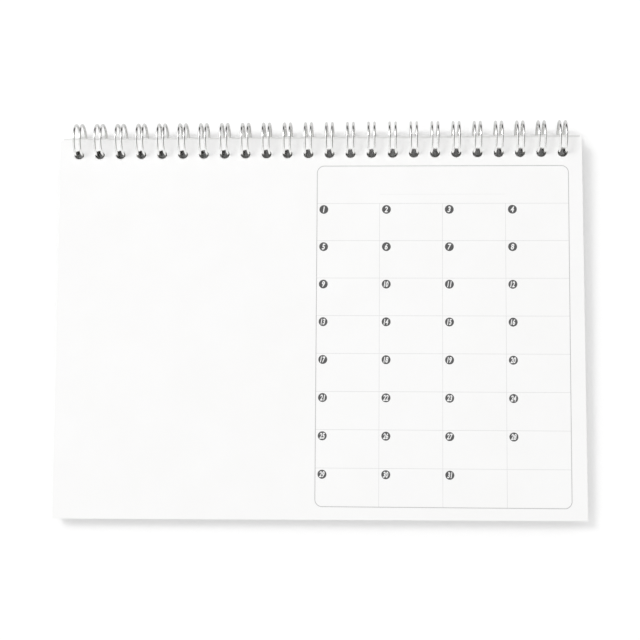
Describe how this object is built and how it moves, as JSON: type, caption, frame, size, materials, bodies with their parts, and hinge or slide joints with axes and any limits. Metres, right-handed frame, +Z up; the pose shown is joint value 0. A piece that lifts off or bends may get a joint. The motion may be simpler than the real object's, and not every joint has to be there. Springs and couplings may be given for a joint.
{
  "type": "wire-bound calendar pad",
  "caption": "Landscape calendar pad of punched leaves and a back board, held along its top edge by a row of twin wire loops.",
  "frame": {"origin": "on the surface that the pad lies on, below the middle of its bounding box", "axes": "+X along the binding to the right of the printed face, +Y from the foot of the page to the binding, +Z up out of the page"},
  "size_m": [0.21, 0.159, 0.0135],
  "materials": {
    "leaf_paper": "smooth uncoated white paper",
    "board": "white-lined board",
    "wire": "bright silver coated wire"
  },
  "bodies": {
    "back": {"back_board": "board", "binding_wire": "wire"},
    "leaves": {"calendar_leaves": "leaf_paper"}
  },
  "joints": [
    {"name": "leaf_turn", "type": "hinge", "parent": "back", "child": "leaves", "pos_m": [0, 0.07273, 0.00675], "axis": [-1, 0, 0], "range_deg": [0, 182.8]}
  ]
}
